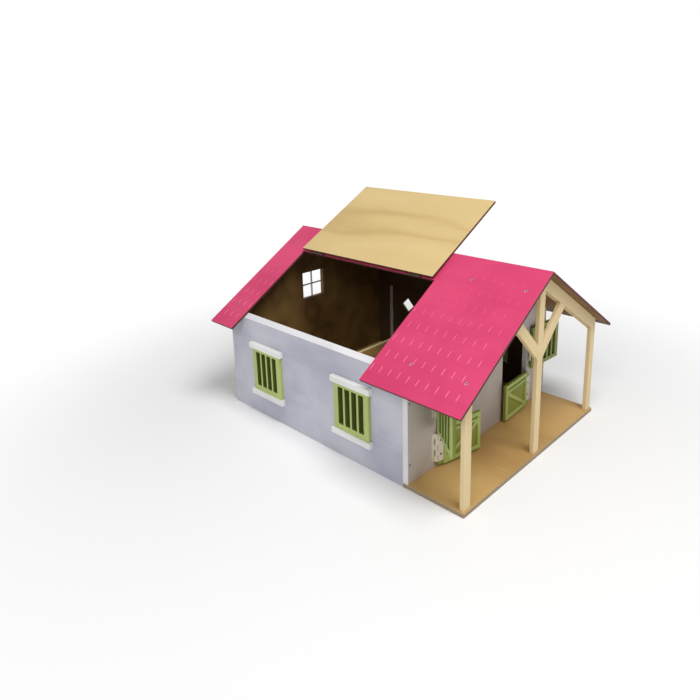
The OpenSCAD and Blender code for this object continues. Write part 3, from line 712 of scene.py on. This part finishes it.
@dataclass
class House:
    """Walls, gables, floor and partitions."""

    ease: float = 0.6 * MM
    pieces: Dict[str, Piece] = field(default_factory=dict)

    SIDEWAYS = 0.3

    def coats(self) -> Dict[str, Coat]:
        """Each board with its coat."""
        left, right = (-1.0, 0.0, 0.0), (1.0, 0.0, 0.0)
        front, rear = (0.0, -1.0, 0.0), (0.0, 1.0, 0.0)
        up, down = (0.0, 0.0, 1.0), (0.0, 0.0, -1.0)
        return {
            "left_wall": Coat(PRIMED, ((left, LAVENDER), (right, INSIDE))),
            # The right wall's inside takes the darker copy of the inside wood, which is painted shade.
            "right_wall": Coat(PRIMED, ((right, LAVENDER), (left, SHADED_INSIDE_WOOD))),
            # Both gables' outer faces take the warmed lavender, which is painted bounce light.
            "front_gable": Coat(PRIMED, ((front, LAVENDER_BOUNCE), (rear, INSIDE))),
            "rear_gable": Coat(INSIDE, ((rear, LAVENDER_BOUNCE),), LAVENDER),
            "base_plate": Coat(PLY_EDGE, ((up, PLY), (down, PLY))),
            "stall_divider": Coat(PARTITION_EDGE, ((left, PARTITION), (right, PARTITION))),
            "stall_back_wall": Coat(PARTITION_EDGE, ((front, PARTITION), (rear, PARTITION))),
        }

    def build(self) -> None:
        """Eases the boards, and marks the ends of the rear gable, which are painted like the side walls."""
        for node in self.coats():
            self.pieces[node] = Piece(node).ease(self.ease)
        rear = self.pieces["rear_gable"]
        rear.mesh.normal_update()
        reach = max(v.co.x for v in rear.mesh.verts)
        for f in rear.mesh.faces:
            if abs(f.calc_center_median().x) > reach - 2 * self.ease and abs(f.normal.x) > self.SIDEWAYS:
                f[rear.mark] = 1

    def dress(self) -> List[bpy.types.Object]:
        """Paints the outsides and leaves the insides bare wood darkened as painted shade, the right wall's inside
        darkest.
        """
        return [self.pieces[node].dressed(coat) for node, coat in self.coats().items()]


@dataclass
class Timber:
    """Pine posts, rafters and braces of the porch, and the ridge batten."""

    ease: float = 0.6 * MM
    pitch: float = 0.0
    pieces: Dict[str, Piece] = field(default_factory=dict)

    SEED_STEP = 0.7

    def lengths(self) -> Dict[str, Vector]:
        """Each timber with the direction of its length."""
        slope = Vector((math.cos(self.pitch), 0, -math.sin(self.pitch)))
        return {
            "left_post": Axis.UP.vector, "centre_post": Axis.UP.vector, "right_post": Axis.UP.vector,
            "left_rafter": Vector((-slope.x, 0, slope.z)), "right_rafter": slope,
            "left_brace": Vector((-1, 0, 1)), "right_brace": Vector((1, 0, 1)),
            "ridge_batten": Axis.ALONG.vector,
        }

    def build(self) -> None:
        """Eases the timbers."""
        for node in self.lengths():
            self.pieces[node] = Piece(node).ease(self.ease)

    def dress(self) -> List[bpy.types.Object]:
        """Gives each timber its grain along its length."""
        return [self.pieces[node].dressed(Coat(pine(f"{node}_pine", direction, self.SEED_STEP * number)))
                for number, (node, direction) in enumerate(self.lengths().items())]


@dataclass
class Joinery:
    """Window frames, lintels, sills and the stall and store doors."""

    ease: float = 0.6 * MM
    sill_ease: float = 1.2 * MM
    pieces: Dict[str, Piece] = field(default_factory=dict)

    EDGEWISE = 0.5

    def build(self) -> None:
        """Eases the painted joinery, and marks the slots of the barred pieces."""
        for node in frame["nodes"]:
            if SLOTS[node] == "green_wood":
                self.pieces[node] = Piece(node).ease(self.ease)
                if "window" in node or "upper" in node:
                    self.mark_slots(self.pieces[node])
            elif SLOTS[node] == "cream_trim":
                self.pieces[node] = Piece(node).ease(self.sill_ease, 3)

    def mark_slots(self, piece: Piece) -> None:
        """Marks the side faces that other parts of the piece stand beyond: those inside its slots, which take
        painted shade.
        """
        piece.mesh.normal_update()
        broad = max(piece.mesh.faces, key=lambda f: f.calc_area()).normal.copy()
        for f in piece.mesh.faces:
            outermost = max(v.co.dot(f.normal) for v in piece.mesh.verts)
            inner = f.calc_center_median().dot(f.normal) < outermost - 2 * self.ease
            f[piece.mark] = int(inner and abs(f.normal.dot(broad)) < self.EDGEWISE)

    def dress(self) -> List[bpy.types.Object]:
        """Paints the joinery: boards deeper than strips, painted shade in the slots, and the store door's inside
        bare wood darkened as painted shade.
        """
        # Slot faces take the dark green, which is painted shade in the recesses.
        strips, boards = Coat(GREEN, (), SLOT_SHADE_GREEN), Coat(BOARD_GREEN, (), SLOT_SHADE_GREEN)
        # The store door's inside takes the darker inside wood, which is painted shade.
        store = Coat(BOARD_GREEN, (((-1.0, 0.0, 0.0), SHADED_INSIDE_WOOD),))
        made_objects = []
        for node, piece in self.pieces.items():
            if SLOTS[node] == "cream_trim":
                coat = Coat(CREAM)
            elif node == "store_door":
                coat = store
            else:
                coat = boards if node.endswith("door") else strips
            made_objects.append(piece.dressed(coat))
        return made_objects


@dataclass
class Ironmongery:
    """Hinges, pins and screws."""

    ease: float = 0.25 * MM
    bit_width: float = 0.16
    bit_reach: float = 0.34
    bit_depth: float = 0.35 * MM
    bit_rim: float = 0.05 * MM
    twist: float = 0.7
    pieces: Dict[str, Piece] = field(default_factory=dict)

    ROUND = 12

    def build(self) -> None:
        """Eases the hinges, and presses a cross into the head of each screw."""
        for node in frame["nodes"]:
            if SLOTS[node] in ("cream_hinge", "hinge_steel"):
                self.pieces[node] = Piece(node).ease(self.ease)
            elif SLOTS[node] == "dark_screw":
                self.pieces[node] = Piece(node).ease(self.ease / 2, 1)
                self.press_all(self.pieces[node])

    def dress(self) -> List[bpy.types.Object]:
        """Enamels the door hinges, darkens the flap's as painted shade, and paints the screws of the roof pink,
        lightened as a painted highlight.
        """
        # The flap's hinges take the darkened steel, which is painted shade.
        coats = {"cream_hinge": Coat(ENAMEL), "hinge_steel": Coat(SHADED_STEEL), "dark_screw": Coat(DARK_STEEL)}
        # The roof screws' heads take the lightened pink, a painted highlight; their crosses stay dark steel.
        own = {"roof_screws": Coat(PINK_SCREW_HIGHLIGHT, (), DARK_STEEL)}
        return [piece.dressed(own.get(node, coats[SLOTS[node]]), smooth=True)
                for node, piece in self.pieces.items()]

    def press_all(self, piece: Piece) -> None:
        """Presses a cross into each head of a node's screws, which look away from what they hold.

        Args:
            piece: The screws.
        """
        carrier = {"roof_screws": "base_plate", "gable_screws": "base_plate"}.get(
            piece.node, piece.node.replace("_hinge_screws", "_door"))
        low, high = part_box(carrier)
        middle = (low + high) / 2
        heads = [(f.calc_center_median(), f.normal.copy(), math.sqrt(f.calc_area() / math.pi))
                 for f in piece.mesh.faces
                 if len(f.verts) > self.ROUND and (f.calc_center_median() - middle).dot(f.normal) > 0]
        for number, (centre, normal, radius) in enumerate(heads):
            first = normal.orthogonal().normalized()
            first.rotate(Matrix.Rotation(self.twist * number, 3, normal))
            self.press(piece, centre, normal, (first, normal.cross(first)), radius)

    def press(self, piece: Piece, centre: Vector, normal: Vector, arms: Tuple[Vector, Vector],
              radius: float) -> None:
        """Sinks a cross into one head.

        Args:
            piece: The screws.
            centre: Middle of the head.
            normal: Where the head looks.
            arms: The directions of the cross.
            radius: Radius of the flat of the head.
        """
        half, reach = self.bit_width * radius, self.bit_reach * radius * 2
        cuts = [(centre + arm * (k * size), arm) for arm in arms for size in (half, reach) for k in (-1, 1)]

        def on_head(f: bmesh.types.BMFace) -> bool:
            """Whether a face is part of this head's flat."""
            return f.normal.dot(normal) > FACING and (f.calc_center_median() - centre).length < radius

        def inside(point: Vector) -> bool:
            """Whether a patch lies in the cross."""
            a, b = (abs((point - centre).dot(arm)) for arm in arms)
            return (a < half and b < reach) or (b < half and a < reach)

        piece.sink(on_head, cuts, inside, self.bit_depth, self.bit_rim)


# Studio


@dataclass(frozen=True)
class Softbox:
    """A square lamp with a soft face.

    Its place is in metres and its power in watts.
    """

    name: str
    place: Triple
    watts: float
    size: float = 0.9


@dataclass
class Studio:
    """Floor, lights and the camera that stands where the photographer stood."""

    focal: float = 607.95
    image: float = 700.0
    centre: Tuple[float, float] = (400.0, 258.0)
    azimuth: float = -48.339
    elevation: float = 14.006
    roll: float = -0.547
    place: Triple = (-0.70983, -0.61596, 0.49029)
    sensor: float = 36.0
    clip: Tuple[float, float] = (0.01, 100.0)
    room_colour: Colour = (250, 250, 250)
    room_level: float = 0.27
    key: Softbox = Softbox("key", (-0.2, -0.95, 1.95), 26.5)
    fill: Softbox = Softbox("fill", (-1.8, -0.75, 1.65), 15.5)
    aim: Triple = (0.0, 0.0, 0.12)
    floor_colour: Colour = (252, 252, 252)
    floor_radius: float = 14.0
    floor_drop: float = 0.2 * MM
    floor_fade: Tuple[float, float] = (0.3, 0.8)

    def camera(self) -> None:
        """Sets up the camera from its calibrated angles, focal length and shift."""
        data = bpy.data.cameras.new("camera")
        data.sensor_width = self.sensor
        data.lens = self.focal / self.image * self.sensor
        data.shift_x = (self.image / 2 - self.centre[0]) / self.image
        data.shift_y = (self.centre[1] - self.image / 2) / self.image
        data.clip_start, data.clip_end = self.clip
        a, e, r = (math.radians(x) for x in (self.azimuth, self.elevation, self.roll))
        back = Vector((math.sin(a) * math.cos(e), -math.cos(a) * math.cos(e), math.sin(e)))
        right = (-back).cross(Vector((0, 0, 1))).normalized()
        up = right.cross(-back)
        turned = (right * math.cos(r) + up * math.sin(r), up * math.cos(r) - right * math.sin(r), back)
        camera = bpy.data.objects.new("camera", data)
        camera.matrix_world = Matrix.Translation(self.place) @ Matrix(turned).transposed().to_4x4()
        bpy.context.scene.collection.objects.link(camera)
        bpy.context.scene.camera = camera

    def lamp(self, softbox: Softbox) -> None:
        """Hangs a softbox that looks at the stable.

        Args:
            softbox: The lamp.
        """
        data = bpy.data.lights.new(softbox.name, "AREA")
        data.shape = "SQUARE"
        data.size = softbox.size
        data.energy = softbox.watts
        lamp = bpy.data.objects.new(softbox.name, data)
        place = Vector(softbox.place)
        turn = (place - Vector(self.aim)).to_track_quat("Z", "Y")
        lamp.matrix_world = Matrix.Translation(place) @ turn.to_matrix().to_4x4()
        bpy.context.scene.collection.objects.link(lamp)

    def world(self) -> None:
        """Lights the room evenly and shows it white behind the stable and in its reflections."""
        world = bpy.data.worlds.new("room")
        tree = Tree(world)
        rays = [tree.node("ShaderNodeLightPath", output=f"Is {kind} Ray")
                for kind in ("Camera", "Glossy", "Transmission")]
        seen = (rays[0] + rays[1] + rays[2]).above(0.0, 0.5)
        room = tree.node("ShaderNodeBackground", None,
                         {"Color": linear(self.room_colour), "Strength": self.room_level})
        white = tree.node("ShaderNodeBackground", None, {"Color": (1, 1, 1, 1), "Strength": 1.0})
        mixed = tree.node("ShaderNodeMixShader", None, {0: seen, 1: room, 2: white})
        tree.node("ShaderNodeOutputWorld", None, {"Surface": mixed})
        bpy.context.scene.world = world

    def floor(self) -> None:
        """Lays a wide pale floor that fades into the white room."""
        mesh = bmesh.new()
        bmesh.ops.create_circle(mesh, cap_ends=True, segments=96, radius=self.floor_radius)
        bmesh.ops.translate(mesh, verts=mesh.verts, vec=(0, 0, -self.floor_drop))
        data = bpy.data.meshes.new("floor")
        mesh.to_mesh(data)
        mesh.free()
        tree = Tree(bpy.data.materials.new("studio_floor"))
        place = tree.node("ShaderNodeTexCoord", output="Object")
        distance = tree.node("ShaderNodeVectorMath", {"operation": "LENGTH"}, {0: place}, "Value")
        matt = tree.node("ShaderNodeBsdfDiffuse", None, {"Color": linear(self.floor_colour)})
        glow = tree.node("ShaderNodeEmission", None, {"Color": (1, 1, 1, 1), "Strength": 1.0})
        away = distance.above(*self.floor_fade)
        mixed = tree.node("ShaderNodeMixShader", None, {0: away, 1: matt, 2: glow})
        tree.node("ShaderNodeOutputMaterial", None, {"Surface": mixed})
        data.materials.append(tree.owner)
        floor = bpy.data.objects.new("floor", data)
        bpy.context.scene.collection.objects.link(floor)

    def build(self) -> None:
        """Lays the floor and sets up the camera."""
        self.camera()
        self.floor()

    def dress(self) -> List[bpy.types.Object]:
        """Lights the room."""
        self.world()
        self.lamp(self.key)
        self.lamp(self.fill)
        bpy.context.scene.view_settings.view_transform = "Standard"
        return []


def main() -> None:
    """Builds and dresses the studio and the stable, and reports every piece."""
    logging.basicConfig(level=logging.INFO, format="%(name)s: %(message)s")
    roof = Roof()
    for part in (Studio(), roof, House(), Timber(pitch=roof.pitch), Joinery(), Ironmongery()):
        part.build()
        for made_object in part.dress():
            LOG.info("%s: %d faces", made_object.name, len(made_object.data.polygons))


if __name__ == "__main__":
    main()
